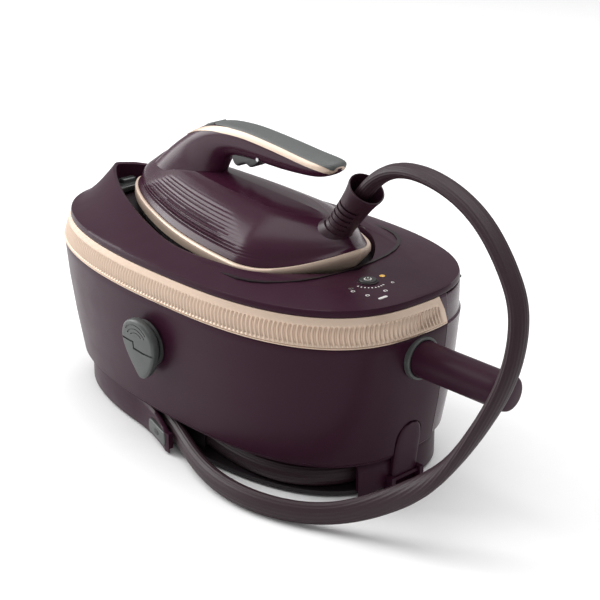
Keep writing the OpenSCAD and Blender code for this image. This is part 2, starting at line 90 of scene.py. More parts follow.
def obj_from(name, verts, faces, body, slot=None, mat=None, smooth=True, replaces=()):
    me = bpy.data.meshes.new(name)
    me.from_pydata([tuple(v) for v in verts], [], faces)
    bm = bmesh.new()
    bm.from_mesh(me)
    bmesh.ops.recalc_face_normals(bm, faces=bm.faces)
    bm.to_mesh(me)
    bm.free()
    o = bpy.data.objects.new(name, me)
    scene.collection.objects.link(o)
    if mat:
        me.materials.append(mat)
    if smooth:
        me.polygons.foreach_set("use_smooth", [True] * len(me.polygons))
    if body:
        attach(o, body)
    if replaces:
        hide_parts(*replaces)
    return o


def grid_faces(m, n, wrap=True, cap0=True, cap1=True):
    f = []
    for j in range(m - 1):
        for i in range(n if wrap else n - 1):
            k = (i + 1) % n
            f.append((j * n + i, j * n + k, (j + 1) * n + k, (j + 1) * n + i))
    if cap0:
        f.append(tuple(range(n - 1, -1, -1)))
    if cap1:
        f.append(tuple((m - 1) * n + i for i in range(n)))
    return f


def catmull(pts, k):
    p = np.array(pts, float)
    out = []
    n = len(p)
    for s in range(n - 1):
        a, b, c, d = p[max(s - 1, 0)], p[s], p[s + 1], p[min(s + 2, n - 1)]
        for j in range(k):
            t = j / k
            out.append(0.5 * (2 * b + (c - a) * t + (2 * a - 5 * b + 4 * c - d) * t * t
                              + (3 * b - a - 3 * c + d) * t ** 3))
    out.append(p[-1])
    return np.array(out)


# ---------------------------------------------------------------- materials


def material(name, color, rough, metal=0.0, vary=0.08, rough_vary=0.08, bump=0.05, scale=60, fine=900,
        coat=0.0, dust=0.0,
             wave=None, spec=0.5):
    """Procedural surface: colour clouding, blotchy roughness, fine grain bump and light grey dust specks from fine
    noise.
    """
    m = bpy.data.materials.new(name)
    m.use_nodes = True
    nt = m.node_tree
    b = nt.nodes["Principled BSDF"]
    link = nt.links.new
    co = nt.nodes.new("ShaderNodeTexCoord")
    big = nt.nodes.new("ShaderNodeTexNoise")
    big.inputs["Scale"].default_value = scale
    big.inputs["Detail"].default_value = 5
    small = nt.nodes.new("ShaderNodeTexNoise")
    small.inputs["Scale"].default_value = fine
    small.inputs["Detail"].default_value = 3
    for t in (big, small):
        link(co.outputs["Object"], t.inputs["Vector"])
    ramp = nt.nodes.new("ShaderNodeMix")
    ramp.data_type = "RGBA"
    lo = [c * (1 - vary) for c in color]
    hi = [min(1, c * (1 + vary)) for c in color]
    ramp.inputs["A"].default_value = (*lo, 1)
    ramp.inputs["B"].default_value = (*hi, 1)
    link(big.outputs["Fac"], ramp.inputs["Factor"])
    last = ramp.outputs["Result"]
    if dust:
        d = nt.nodes.new("ShaderNodeMix")
        d.data_type = "RGBA"
        d.inputs["B"].default_value = (0.35, 0.32, 0.32, 1)
        k = nt.nodes.new("ShaderNodeMapRange")
        k.inputs["From Min"].default_value, k.inputs["From Max"].default_value = 0.62, 0.8
        k.inputs["To Max"].default_value = dust
        link(small.outputs["Fac"], k.inputs["Value"])
        link(k.outputs["Result"], d.inputs["Factor"])
        link(last, d.inputs["A"])
        last = d.outputs["Result"]
    link(last, b.inputs["Base Color"])
    r = nt.nodes.new("ShaderNodeMapRange")
    r.inputs["To Min"].default_value, r.inputs["To Max"].default_value = rough - rough_vary, rough + rough_vary
    link(big.outputs["Fac"], r.inputs["Value"])
    link(r.outputs["Result"], b.inputs["Roughness"])
    height = small.outputs["Fac"]
    if wave:
        w = nt.nodes.new("ShaderNodeTexWave")
        w.bands_direction = wave[0]
        w.inputs["Scale"].default_value = wave[1]
        w.inputs["Distortion"].default_value = wave[2]
        link(co.outputs["Object"], w.inputs["Vector"])
        height = w.outputs["Fac"]
    bp = nt.nodes.new("ShaderNodeBump")
    bp.inputs["Strength"].default_value = bump
    bp.inputs["Distance"].default_value = 0.0004
    link(height, bp.inputs["Height"])
    link(bp.outputs["Normal"], b.inputs["Normal"])
    b.inputs["Metallic"].default_value = metal
    b.inputs["Specular IOR Level"].default_value = spec
    b.inputs["Coat Weight"].default_value = coat
    b.inputs["Coat Roughness"].default_value = 0.12
    return m


PURPLE = (0.030, 0.0075, 0.0175)
M = {
    "shell": material("shell_plastic", PURPLE, 0.36, bump=0.05, spec=0.12),
    "iron": material("iron_plastic", (0.036, 0.0072, 0.019), 0.25, rough_vary=0.03, bump=0.02, spec=0.24),
    "tank": material("tank_plastic", (0.042, 0.013, 0.027), 0.27, bump=0.03, spec=0.36),
    "gold": material("champagne_trim", (0.60, 0.46, 0.36), 0.40, metal=0.45, vary=0.05, bump=0.08, fine=1400),
    "satin_gold": material("satin_gold", (0.60, 0.465, 0.37), 0.42, metal=0.35, vary=0.05, bump=0.06,
    fine=1600),
    "dock": material("dock_plastic", (0.013, 0.006, 0.009), 0.42, bump=0.12, spec=0.25),
    "pad": material("nose_pad", (0.030, 0.032, 0.032), 0.22, bump=0.05, coat=0.3),
    "mat": material("mat_rubber", (0.075, 0.072, 0.076), 0.7, bump=0.3, fine=1200),
    "grey": material("touch_grey", (0.058, 0.062, 0.061), 0.40, bump=0.14, dust=0.02, spec=0.4),
    "dark_grey": material("engraved_grey", (0.020, 0.021, 0.021), 0.5, bump=0.1),
    "pale": material("pale_print", (0.62, 0.60, 0.58), 0.5, bump=0.03),
    "amber": material("amber_lens", (0.85, 0.47, 0.05), 0.18, bump=0.02, coat=0.5),
    "dark_lens": material("dark_lens", (0.03, 0.012, 0.012), 0.15, bump=0.02, coat=0.5),
    "hose": material("hose_sleeve", (0.022, 0.0075, 0.012), 0.5, bump=0.3, fine=2200, rough_vary=0.1,
    dust=0.02, spec=0.35),
    "boot": material("boot_rubber", (0.026, 0.0075, 0.0145), 0.42, bump=0.2, dust=0.015, spec=0.35),
    "grip": material("grip_weave", (0.078, 0.083, 0.081), 0.46, bump=0.2, dust=0.03),
    "black": material("button_black", (0.016, 0.015, 0.016), 0.35, bump=0.08),
    "rubber": material("foot_rubber", (0.014, 0.014, 0.015), 0.75, bump=0.3),
    "inner": material("inner_plastic", (0.016, 0.011, 0.014), 0.5, bump=0.15, spec=0.3),
    "white": material("white_moulding", (0.62, 0.60, 0.56), 0.45, bump=0.1),
    "steel": material("brushed_steel", (0.52, 0.52, 0.53), 0.32, metal=1, bump=0.25, wave=("X", 400, 2.0)),
    "sole": material("sole_metal", (0.34, 0.34, 0.35), 0.26, metal=1, bump=0.2, wave=("Y", 500, 1.5)),
    "cast": material("cast_metal", (0.42, 0.42, 0.42), 0.55, metal=0.9, bump=0.5, fine=500),
    "pipe": material("pipe_plastic", (0.55, 0.53, 0.5), 0.4, bump=0.1),
    "board": material("board_green", (0.025, 0.10, 0.045), 0.4, bump=0.2),
}
CAD_LOOK = {
    "tray_plastic": "inner", "shell_purple": "shell", "foot_rubber": "rubber", "trim_gold": "gold",
    "inner_plastic": "inner",
    "dock_dark": "dock", "mat_rubber": "mat", "touch_grey": "grey", "lens_amber": "amber",
    "lens_dark": "dark_lens",
    "lens_white": "pale", "boiler_steel": "steel", "heater_metal": "cast", "inner_white": "white",
    "pipe_plastic": "pipe",
    "board_green": "board", "hose_sleeve": "hose", "button_grey": "grey", "plug_metal": "steel",
    "tank_purple": "tank",
    "sole_metal": "sole", "iron_purple": "iron", "grip_grey": "grip", "boot_rubber": "boot",
    "button_black": "black"}
for part in frame["record"]["subparts"]:
    node = NODES[part["node"]]
    node.data.materials.clear()
    node.data.materials.append(M["shell" if node.name == "clip_bracket" else CAD_LOOK[part["material_slot"]]])

# ---------------------------------------------------------------- hose route, close to that of part.scad
UPPER = [
    (78.6, 0, 179.5), (90, 0, 194.3), (102, 0, 209.8), (112, 0, 220.5), (126, 0, 228.5), (142, 0, 232),
    (161, 0, 231), (180, -1, 227), (197, -1.5, 220), (212, -2.5, 210), (225, -4, 197), (236, -6, 183),
    (244, -8, 172), (250, -12, 158)]
LOWER = [
    (250, -12, 158), (254, -20, 138), (253, -28, 119), (246, -37, 99), (237, -46, 76), (224, -54, 56),
    (206, -61, 40), (185, -69, 26), (163, -80, 14), (140, -93, 9), (110, -105, 8.7), (80, -108, 8.7),
    (50, -104, 9), (22, -95, 11.5), (-6, -83.5, 13.8), (-26, -75.5, 13.8), (-50, -70.5, 13.8), (-90, -64.5,
    13.8),
    (-125, -55, 13.8), (-150, -42.5, 13.8), (-167, -24, 13.8), (-173, 0, 13.8), (-167, 24, 13.8),
    (-150, 42.5, 13.8), (-125, 55, 13.8), (-90, 64.5, 13.8), (-50, 69.5, 13.8), (0, 71, 13.8), (40, 70, 13.8),
    (80, 62.5, 13.8), (105, 50.5, 13.8), (120, 35, 13.8), (128, 12, 13.8), (128, -12, 13.8), (124, -36, 13.8),
    (112, -58, 13.8), (88, -73, 13.8), (52, -76, 13.8), (14, -69.5, 13.8)]
level, upright = np.array([0, 1.0, 0]), np.array([0, 0, 1.0])
wide_u = [level] * len(UPPER)
wide_l = [level if i < 3 else
          ((level * (8 - i) + upright * (i - 2)) / np.linalg.norm(level * (8 - i) + upright * (i - 2))
           if i < 8 else upright) for i in range(len(LOWER))]
route = catmull(np.vstack([np.array(UPPER), np.array(LOWER)[1:]]), 10)
wides = catmull(np.vstack([np.array(wide_u), np.array(wide_l)[1:]]), 10)


def smooth(v, n=6):
    v = v.copy()
    for _ in range(n):
        v[1:-1] = 0.5 * v[1:-1] + 0.25 * (v[:-2] + v[2:])
    return v


route = smooth(route, 110)
wides = smooth(wides, 40)
seg = np.linalg.norm(np.diff(route, axis=0), axis=1)
arc = np.concatenate([[0], np.cumsum(seg)])
HOSE_LEN = arc[-1]
steps = int(HOSE_LEN / 2.5)
s = np.linspace(0, HOSE_LEN, steps)
centre = np.stack([np.interp(s, arc, route[:, k]) for k in range(3)], 1)
wdir = np.stack([np.interp(s, arc, wides[:, k]) for k in range(3)], 1)
tan = np.gradient(centre, axis=0)
tan /= np.linalg.norm(tan, axis=1)[:, None]
NS = 72
verts = []
for p, w, t in zip(centre, wdir, tan):
    w = w - t * (w @ t)
    w /= np.linalg.norm(w)
    q = np.cross(t, w)
    for k in range(NS):
        a = 2 * math.pi * k / NS
        rib = 1 - 0.045 * (0.5 + 0.5 * math.cos(a * 18)) ** 2
        v = p + w * (8.2 * rib * math.cos(a)) + q * (5.2 * rib * math.sin(a))
        verts.append(W(*v))
hose = obj_from("steam_hose", verts, grid_faces(steps, NS), None, mat=M["hose"])
print("hose length mm", round(HOSE_LEN, 1))
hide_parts("hose_lower", "hose_upper")
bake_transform(hose)

# ---------------------------------------------------------------- outlines, as in part.scad
NOSE, TAIL, HALF = 208.5, 156.5, 97.0
BAND1 = 141.0                                   # top of the trim band
BAY_X, BAY_Y = 24.0, 27.5
NOSE_N, TAIL_N = 2.39, 2.64


def oval_at(th, f, r, b):
    c, s = np.cos(th), np.sin(th)
    e = np.where(c < 0, NOSE_N, TAIL_N)
    a = np.where(c < 0, f, r)
    return a * np.sign(c) * np.abs(c) ** (2 / e), b * np.sign(s) * np.abs(s) ** (2 / e)


def even_angles(n, th0=0.0, th1=2 * math.pi):
    """Angles that split the outline into steps of equal length."""
    t = np.linspace(th0, th1, 6000)
    x, y = oval_at(t, NOSE, TAIL, HALF)
    d = np.concatenate([[0], np.cumsum(np.hypot(np.diff(x), np.diff(y)))])
    return np.interp(np.linspace(0, d[-1], n), d, t), d[-1]


def angle_of_x(x, f, r, side):
    a, e = (r, TAIL_N) if x > 0 else (f, NOSE_N)
    c = math.copysign((abs(x) / a) ** (e / 2), x)
    return math.acos(c) if side > 0 else 2 * math.pi - math.acos(c)


def angle_of_y(y, b, e=TAIL_N):
    return math.asin((abs(y) / b) ** (e / 2)) * (1 if y > 0 else -1)


def ring_grid(sizes, th, ends=None):
    """Rows of points, one row per size (z, f, r, b); ends gives the cut of an open arc for each row."""
    rows = []
    for k, (z, f, r, b) in enumerate(sizes):
        t = th
        if ends:
            a0, a1 = ends(f, r, b, z)
            t = a0 + (a1 - a0) * (th - th[0]) / (th[-1] - th[0])
        x, y = oval_at(t, f, r, b)
        rows.append(np.stack([x, y, np.full_like(x, z)], 1))
    return np.array(rows)


def shell_size(z, d=0.0):
    zs = [25, 28, 60, 90, 119]
    f = np.interp(z, zs, [NOSE - 17, NOSE - 14, NOSE - 8, NOSE - 3, NOSE])
    r = np.interp(z, zs, [TAIL - 14, TAIL - 11.5, TAIL - 6, TAIL - 2.5, TAIL])
    b = np.interp(z, zs, [HALF - 12, HALF - 9, HALF - 4.5, HALF - 1.8, HALF])
    return f - d, r - d, b - d


def sweep(name, rows, body, mat, closed, **kw):
    """rows[k][i]: k round the cross section, i along the sweep. A closed tube or ring."""
    k, n, _ = rows.shape
    pts = rows.transpose(1, 0, 2).reshape(-1, 3)
    f = []
    m = n if closed else n - 1
    for i in range(m):
        a, b = i * k, ((i + 1) % n) * k
        for j in range(k):
            q = (j + 1) % k
            f.append((a + j, a + q, b + q, b + j))
    if not closed:
        f.append(tuple(range(k - 1, -1, -1)))
        f.append(tuple((n - 1) * k + j for j in range(k)))
    return obj_from(name, [W(*p) for p in pts], f, body, mat=mat, **kw)


def cut(obj, cutters, op="DIFFERENCE"):
    """Applies booleans to obj's mesh and removes the cutters."""
    for c in cutters:
        m = obj.modifiers.new("cut", "BOOLEAN")
        m.operation, m.solver, m.object = op, "EXACT", c
    bpy.context.view_layer.update()
    me = bpy.data.meshes.new_from_object(obj.evaluated_get(bpy.context.evaluated_depsgraph_get()))
    obj.modifiers.clear()
    obj.data = me
    for c in cutters:
        bpy.data.objects.remove(c)
    return obj


def sharp(obj, deg=32):
    me = obj.data
    bm = bmesh.new()
    bm.from_mesh(me)
    bmesh.ops.recalc_face_normals(bm, faces=bm.faces)
    for e in bm.edges:
        e.smooth = not (len(e.link_faces) == 2 and e.calc_face_angle(0) > math.radians(deg))
    bm.to_mesh(me)
    bm.free()
    me.polygons.foreach_set("use_smooth", [True] * len(me.polygons))
    return obj


def prism(name, outline, place, t0, t1, body, mat, bevel=0.6, segs=3, **kw):
    """A plate with rounded edges: outline in 2-D, place(u, v, w) puts it in working coordinates."""
    n = len(outline)
    verts = [W(*place(u, v, t0)) for u, v in outline] + [W(*place(u, v, t1)) for u, v in outline]
    faces = [tuple(range(n - 1, -1, -1)), tuple(range(n, 2 * n))] + [(i, (i + 1) % n, n + (i + 1) % n,
            n + i) for i in range(n)]
    o = obj_from(name, verts, faces, body, mat=mat, **kw)
    if bevel:
        bm = bmesh.new()
        bm.from_mesh(o.data)
        caps = [f for f in bm.faces if len(f.verts) == n]
        edges = {e for f in caps for e in f.edges}
        bmesh.ops.bevel(bm, geom=list(edges), offset=bevel * MM, segments=segs, profile=0.5, affect="EDGES",
                clamp_overlap=True)
        bm.to_mesh(o.data)
        bm.free()
    return sharp(o, 40)


def lathe(name, profile, place, body, mat, n=96, **kw):
    """profile: (height along the axis, radius) from pole to pole, place(u, v, w) with w along the axis."""
    verts, faces = [], []
    m = len(profile)
    for h, r in profile:
        for i in range(n):
            a = 2 * math.pi * i / n
            verts.append(W(*place(r * math.cos(a), r * math.sin(a), h)))
    for j in range(m - 1):
        for i in range(n):
            k = (i + 1) % n
            faces.append((j * n + i, j * n + k, (j + 1) * n + k, (j + 1) * n + i))
    if profile[0][1] > 0.05 or profile[-1][1] > 0.05 or profile[0] != profile[-1]:
        faces.append(tuple(range(n - 1, -1, -1)))
        faces.append(tuple((m - 1) * n + i for i in range(n)))
    return sharp(obj_from(name, verts, faces, body, mat=mat, **kw), 35)


def ring_lathe(name, profile, place, body, mat, n=96, **kw):
    """Closed profile loop turned round the axis."""
    m = len(profile)
    verts = [W(*place(r * math.cos(2 * math.pi * i / n), r * math.sin(2 * math.pi * i / n),
            h)) for i in range(n) for h, r in profile]
    faces = [(i * m + j, i * m + (j + 1) % m, ((i + 1) % n) * m + (j + 1) % m,
            ((i + 1) % n) * m + j) for i in range(n) for j in range(m)]
    return sharp(obj_from(name, verts, faces, body, mat=mat, **kw), 35)


def solid_box(x0, x1, y0, y1, z0, z1, name="cutter"):
    v = [W(x, y, z) for z in (z0, z1) for y in (y0, y1) for x in (x0, x1)]
    f = [(0, 2, 3, 1), (4, 5, 7, 6), (0, 1, 5, 4), (2, 6, 7, 3), (0, 4, 6, 2), (1, 3, 7, 5)]
    return obj_from(name, v, f, None, smooth=False)


def flat_place(z0=0):
    return lambda u, v, w: (u, v, z0 + w)


def rounded(pts, k=6):
    """Closed smooth outline through a few points."""
    p = np.array(list(pts) + list(pts[:1]), float)
    n = len(pts)
    out = []
    for s in range(n):
        a, b, c, d = p[(s - 1) % n], p[s], p[(s + 1) % n], p[(s + 2) % n]
        for j in range(k):
            t = j / k
            out.append(tuple(0.5 * (2 * b + (c - a) * t + (2 * a - 5 * b + 4 * c - d) * t * t
                                    + (3 * b - a - 3 * c + d) * t ** 3)))
    return out


def rrect(cx, cy, w, h, r, k=6):
    out = []
    for sx, sy, a0 in ((1, 1, 0), (-1, 1, 90), (-1, -1, 180), (1, -1, 270)):
        for j in range(k + 1):
            a = math.radians(a0 + 90 * j / k)
            out.append((cx + sx * (w / 2 - r) + r * math.cos(a), cy + sy * (h / 2 - r) + r * math.sin(a)))
    return out


# ---------------------------------------------------------------- lower housing
def shell_ends(f, r, b, z):
    return angle_of_x(BAY_X, f, r, 1), 2 * math.pi + angle_of_y(BAY_Y, b)


th_shell, _ = even_angles(420, angle_of_x(BAY_X, NOSE, TAIL, 1), 2 * math.pi + angle_of_y(BAY_Y, HALF))
outer = [(z, *shell_size(z)) for z in (26.2, 28, 31, 36, 44, 52, 60, 68, 76, 84, 90, 98, 106, 113, 117.6)]
foot = [(25.0, *shell_size(28, 9)), (25.0, *shell_size(28, 3.4)), (25.3, *shell_size(28, 1.6))]
top = [(118.6, *shell_size(118.6, 0.5)), (119.0, *shell_size(119, 1.4)), (119.0, *shell_size(119, 3))]
inner = [(z, *shell_size(z, 3)) for z in (112, 90, 60, 32)] + [(28, *shell_size(28, 9))]
rows = ring_grid(foot + outer + top + inner, th_shell, shell_ends)
lower = sweep("lower_shell", rows, "base", M["shell"], False, replaces=("lower_housing",))


def knob_place(u, v, w):
    a, b = math.radians(5.2), math.radians(-1.5)
    x, y, z = u, -w, v
    y, z = y * math.cos(a) - z * math.sin(a), y * math.sin(a) + z * math.cos(a)
    x, y = x * math.cos(b) - y * math.sin(b), x * math.sin(b) + y * math.cos(b)
    return x - 23, y - HALF + 2.7, z + 85


post_place = lambda u, v, w: (w, u, 102 + v)
hole1 = lathe("cut1", [(-14, 15.9), (18, 15.9)], knob_place, None, None)
hole2 = lathe("cut2", [(140, 13.05), (180, 13.05)], post_place, None, None)
# floor plate of the housing
plate_out = [tuple(p[:2]) for p in ring_grid([(27, *shell_size(28, 6))], even_angles(160)[0][:-1])[0]]
plate = prism("housing_floor", plate_out, flat_place(), 25.4, 28.2, "base", M["shell"], bevel=0)
cut(lower, [hole1, hole2])
sharp(lower, 30)

# ---------------------------------------------------------------- ribbed trim band
PITCH_RIB = 3.5


def band_ends(f, r, b, z):
    lean = 19 + (BAND1 - z) * 0.38
    return angle_of_x(BAY_X, f, r, 1), 2 * math.pi + angle_of_y(min(lean, 27.4), b)


arc0, arc1 = angle_of_x(BAY_X, NOSE, TAIL, 1), 2 * math.pi + angle_of_y(27, HALF)
_, arc_len = even_angles(10, arc0, arc1)
ribs = round(arc_len / PITCH_RIB)
th_band, _ = even_angles(ribs * 10 + 1, arc0, arc1)
phase = np.linspace(0, ribs, len(th_band))
end_share = np.clip((phase - (ribs - 9)) / 9, 0, 1)
zb = [119.3, 119.5, 120.3, 120.6, 121.0, 121.5, 122.2, 122.8, 123.6, 124.8, 126.2, 127.8, 129.3, 130.8, 132.2,
        133.4, 134.3, 135.0,
      135.6, 136.4, 138.6, 140.6, 141.0]
band_rows = []
for z in zb:
    base_out = np.interp(z, [119.2, 120.7, 131.2, 141], [0.4, 1.0, 0.8, -1.2])
    th = th_band + (band_ends(NOSE, TAIL, HALF, z)[1] - arc1) * end_share
    lean_in = 0.45 * max(0, z - 119.6)
    x, y = oval_at(th, NOSE + base_out - lean_in, TAIL + base_out - 0.3, HALF + base_out - 0.2)
    x1, y1 = oval_at(th, NOSE + base_out - lean_in - 1, TAIL + base_out - 1.3, HALF + base_out - 1.2)
    depth = 0.0
    if 121.5 < z < 135.7:
        bow = 0.42 * (1 - ((z - 128.7) / 7.0) ** 2)
        wave = 0.5 - 0.5 * np.cos(2 * np.pi * (phase + bow))
        edge = min(1, (z - 121.5) / 1.2, (135.7 - z) / 1.2)
        ends_in = np.clip(np.minimum(phase, ribs - phase - 1.2) / 0.8, 0, 1)
        depth = (0.25 + 1.35 * wave ** 1.2) * edge * ends_in
    if abs(z - 120.6) < 0.06:
        depth = 0.7
    px, py = x + (x1 - x) * depth, y + (y1 - y) * depth
    band_rows.append(np.stack([px, py, np.full_like(px, z)], 1))
for z in (141.0, 119.3):
    th = th_band + (band_ends(NOSE, TAIL, HALF, z)[1] - arc1) * end_share
    x, y = oval_at(th, NOSE - 6 - 0.36 * (z - 119.3), TAIL - 6, HALF - 6)
    band_rows.append(np.stack([x, y, np.full_like(x, z)], 1))
band = sweep("ribbed_band", np.array(band_rows), "base", M["gold"], False, replaces=("trim_band",))
sharp(band, 50)

# ---------------------------------------------------------------- iron and dock outlines


def hull_w(t):
    t = np.clip(t, 0, 1)
    return np.where(t < 0.734, (1 - (1 - np.minimum(t, 0.734) / 0.734) ** 2.2) ** np.interp(t, [0, 0.3],
            [0.70, 1 / 1.2]),
                    np.maximum(0, 1 - np.maximum((t - 0.734) / 0.266, 0) ** 1.65) ** (1 / 1.2))


def rise(x):
    return 19 * (np.maximum(0, x - 196) / 56) ** 1.8


def dock_w(t, p=0.85, m=0.82):
    t = np.clip(t, 0, 1)
    return np.where(t < m, np.sin(np.pi / 2 * t / m) ** p, np.maximum(0,
            1 - (np.maximum(0, t - m) / (1 - m)) ** 2.3) ** (1 / 2.3))


# ---------------------------------------------------------------- upper housing
NU = 360
th_up = even_angles(2 * NU + 1)[0][1::2]
ox, oy = oval_at(th_up, NOSE - 11.4, TAIL - 2, HALF - 1.6)
tx = (ox + NOSE - 11.4) / (NOSE + TAIL - 13.4)
side = np.sign(oy + 1e-9)
# crest of the deck: follows the dock to its widest place, then tapers to the tail
cx = -187 + tx * (152 + 187)
tail_w = np.interp(cx, [20, 45, 64, 90, 112, 130, 143, 150, 152], [74.5, 67, 60, 51, 39, 27, 16, 8, 0])
cw = np.where(cx < 20, 77.2 * dock_w((cx + 187) / 281, 0.74), tail_w)
cw = np.minimum(cw, np.abs(oy) * 0.98)
cz = np.interp(cx, [-187, -176, -150, -120, -76, -42, 0, 60, 110, 152], [165, 165.4, 163, 160.6, 157.4, 154.4,
        152, 150.4, 148.6, 146.6])
cy = side * cw
# mouth of the dock well
wx = -184.5 + tx * 280.5
blend_in = np.clip((wx + 40) / 75, 0, 1) ** 2 * (3 - 2 * np.clip((wx + 40) / 75, 0, 1))
close_fit = np.minimum(59.5 * hull_w((wx + 156) / 252) + 5.5, 2.4 * (96 - wx) + 0.2)
wy = side * ((1 - blend_in) * 76.0 * dock_w((wx + 184.5) / 278, 0.76) + blend_in * close_fit)
wz = np.interp(wx, [-184, -172, -150, -120, -76, -42, 0, 60, 94], [164.6, 164.8, 162.4, 159.8, 156.6, 153.8,
        151.6, 150.0, 149.6])


def mix(ax, ay, az, bx, by, bz, g, h):
    return np.stack([ax + (bx - ax) * g, ay + (by - ay) * g, az + (bz - az) * h], 1)


up_rows = [mix(ox, oy, np.full(NU, 141.3), 0, 0, 141.3, 0.04, 0), mix(ox, oy, np.full(NU, 141.3), 0, 0, 141.3,
        0.0, 0)]
oz = np.full(NU, 141.3)
up_rows.append(np.stack([ox * 1.0022, oy * 1.004, oz + 0.5], 1))
for dz, k in ((1.5, 1.002), (3.2, 1.0005), (4.4, 0.998)):
    up_rows.append(np.stack([ox * k, oy * (2 * k - 1), oz + dz], 1))
near_nose = np.clip((-60 - ox) / 120, 0, 1)
for t in np.linspace(0.035, 1, 26):
    g = t ** (1.12 - 0.36 * near_nose)
    h = (0.75 * t + 0.25 * math.sin(t * math.pi / 2)) ** (0.95 + 0.42 * near_nose)
    up_rows.append(mix(ox, oy, oz + 4.6, cx, cy, cz, g, h))
for t in (0.25, 0.6, 0.9):
    up_rows.append(mix(cx, cy, cz, wx, wy, wz, t, t))
up_rows.append(mix(wx, wy, wz, 0, 0, 150, 0.004, 0.0) - [0, 0, 0.5])
for z in (150, 142, 134, 130.5):
    up_rows.append(np.stack([wx * 0.995, wy * 0.99, np.minimum(wz - 1, z)], 1))
up_rows.append(np.stack([wx * 1.0 - 2, wy * 1.03, np.full(NU, 130.5)], 1))
up_rows.append(np.stack([ox * 0.95, oy * 0.9, np.full(NU, 139)], 1))
upper = sweep("upper_shell", np.array(up_rows), "base", M["shell"], True, replaces=("upper_housing",))
sharp(upper, 38)

# ---------------------------------------------------------------- iron surfaces
NH = 150
u_ring = (1 - np.cos(np.linspace(0, np.pi, NH + 1))) / 2


def hull_ring(x0, x1, w, z, k=0.0):
    t = u_ring
    x = x0 + (x1 - x0) * t
    yy = w * hull_w(t)
    zz = z + k * rise(x)
    a = np.stack([x, -yy, zz], 1)
    b = np.stack([x, yy, zz], 1)[1:-1][::-1]
    return np.vstack([a, b])


def iron_loft(name, rings, mat, body="iron", close=True, **kw):
    R = np.array(rings)
    m, n, _ = R.shape
    verts = [I(*p) for r in R for p in r]
    faces = []
    for j in range(m - 1):
        for i in range(n):
            k = (i + 1) % n
            faces.append((j * n + i, j * n + k, (j + 1) * n + k, (j + 1) * n + i))
    for base in (0, (m - 1) * n):
        strip = [(base + i, base + i + 1, base + (n - i - 1) % n, base + (n - i) % n) for i in range(NH)]
        for q in strip:
            q = tuple(dict.fromkeys(q))
            if len(q) > 2:
                faces.append(q)
    return obj_from(name, verts, faces, body, mat=mat, **kw)


HW = 59.5
sole = iron_loft("soleplate_shaped", [
    hull_ring(7, 230, HW - 6, 0.0), hull_ring(4, 233.5, HW - 3.6, 0.0), hull_ring(3.2, 234.6, HW - 2.7, 0.5),
    hull_ring(3, 235, HW - 2.5, 1.4),
    hull_ring(3, 235, HW - 2.5, 4.4)], M["sole"], replaces=("soleplate",))
sharp(sole, 40)
trim = iron_loft("sole_trim_swept", [
    hull_ring(6, 232, HW - 6, 4.5), hull_ring(1.5, 236.5, HW - 2, 4.5, 0), hull_ring(0.6, 240, HW - 0.8, 5.2,
    0.25), hull_ring(0.1, 249, HW - 0.1, 6.6, 0.85),
    hull_ring(0, 252, HW, 8.0, 0.97), hull_ring(0.1, 252, HW - 0.1, 11.2, 1), hull_ring(0.7, 251.3, HW - 0.7,
    12.6, 1), hull_ring(1.6, 250, HW - 1.6, 13.0, 1),
    hull_ring(5, 246, HW - 5, 12.6, 1)], M["satin_gold"], replaces=("sole_trim",))
sharp(trim, 50)

LAYERS = np.array([  # x0, x1, inset, z, rise share
    (5.2, 247.2, 4.8, 12.7, 1.0), (3.4, 248.6, 2.9, 13.2, 1.0), (3.9, 248.0, 3.2, 14.4, 0.96), (7, 246, 5.5,
    18, 0.82), (11, 243, 11.5, 26, 0.5), (21, 238, 21.5, 34, 0.25),
    (29, 230, 32, 40, 0.05), (34, 221, 40.5, 43.4, 0.0), (34.6, 220.5, 41.2, 43.7, 0.0), (40, 213, 48.0, 45.2,
    0.0), (46, 206, 55.0, 46.2, 0.0),
    (52, 200, 59.3, 46.6, 0.0)])
fine_layers = catmull(LAYERS, 16)
rings = []
NG = 11
for j, (x0, x1, inset, z, k) in enumerate(fine_layers):
    r = hull_ring(x0, x1, max(0.2, HW - inset), z, k)
    v = (z - 16.5) / (37.5 - 16.5)
    if 0 < v < 1:
        x = r[:, 0]
        groove = (0.5 + 0.5 * math.cos(2 * math.pi * NG * v)) ** 2
        fade = np.clip((x - 24 - 44 * v) / 9, 0, 1) * np.clip((206 - 52 * v - x) / 40, 0, 1) * min(1, v * 8,
                (1 - v) * 8)
        r[:, 1] *= 1 - 0.022 * groove * fade
        r[:, 2] -= 0.8 * groove * fade
    rings.append(r)
body_iron = iron_loft("iron_body", rings, M["iron"], replaces=("iron_housing",))
sharp(body_iron, 55)

# ---------------------------------------------------------------- handle as one loft from column to free end
HANDLE = np.array([  # top x, z, under x, z, half width
    (30, 36, 92, 34, 16.5), (44, 49.5, 99, 39, 14.5), (59, 61.7, 103.5, 46, 12.6), (76, 73.2, 107.5, 54,
    11.8), (92, 81.0, 112.5, 59.6, 11.5),
    (110, 86.4, 121, 63.4, 11.5), (130, 88.9, 134, 65.5, 11.6), (148, 89.4, 149, 66.6, 11.7), (175, 88.7, 174,
    67.9, 11.8),
    (200, 87.5, 197, 70.4, 11.8), (213, 87.2, 210, 72.6, 11.5), (220.5, 86.9, 217.5, 75.0, 10.6), (224.6,
    86.2, 222.4, 77.4, 8.8),
    (226.6, 84.6, 225.4, 79.8, 5.6), (227.0, 83.2, 226.6, 81.6, 2.0)])
hs = catmull(HANDLE, 9)
NSEC = 96
phi = np.linspace(-np.pi, np.pi, NSEC + 1)[:-1]


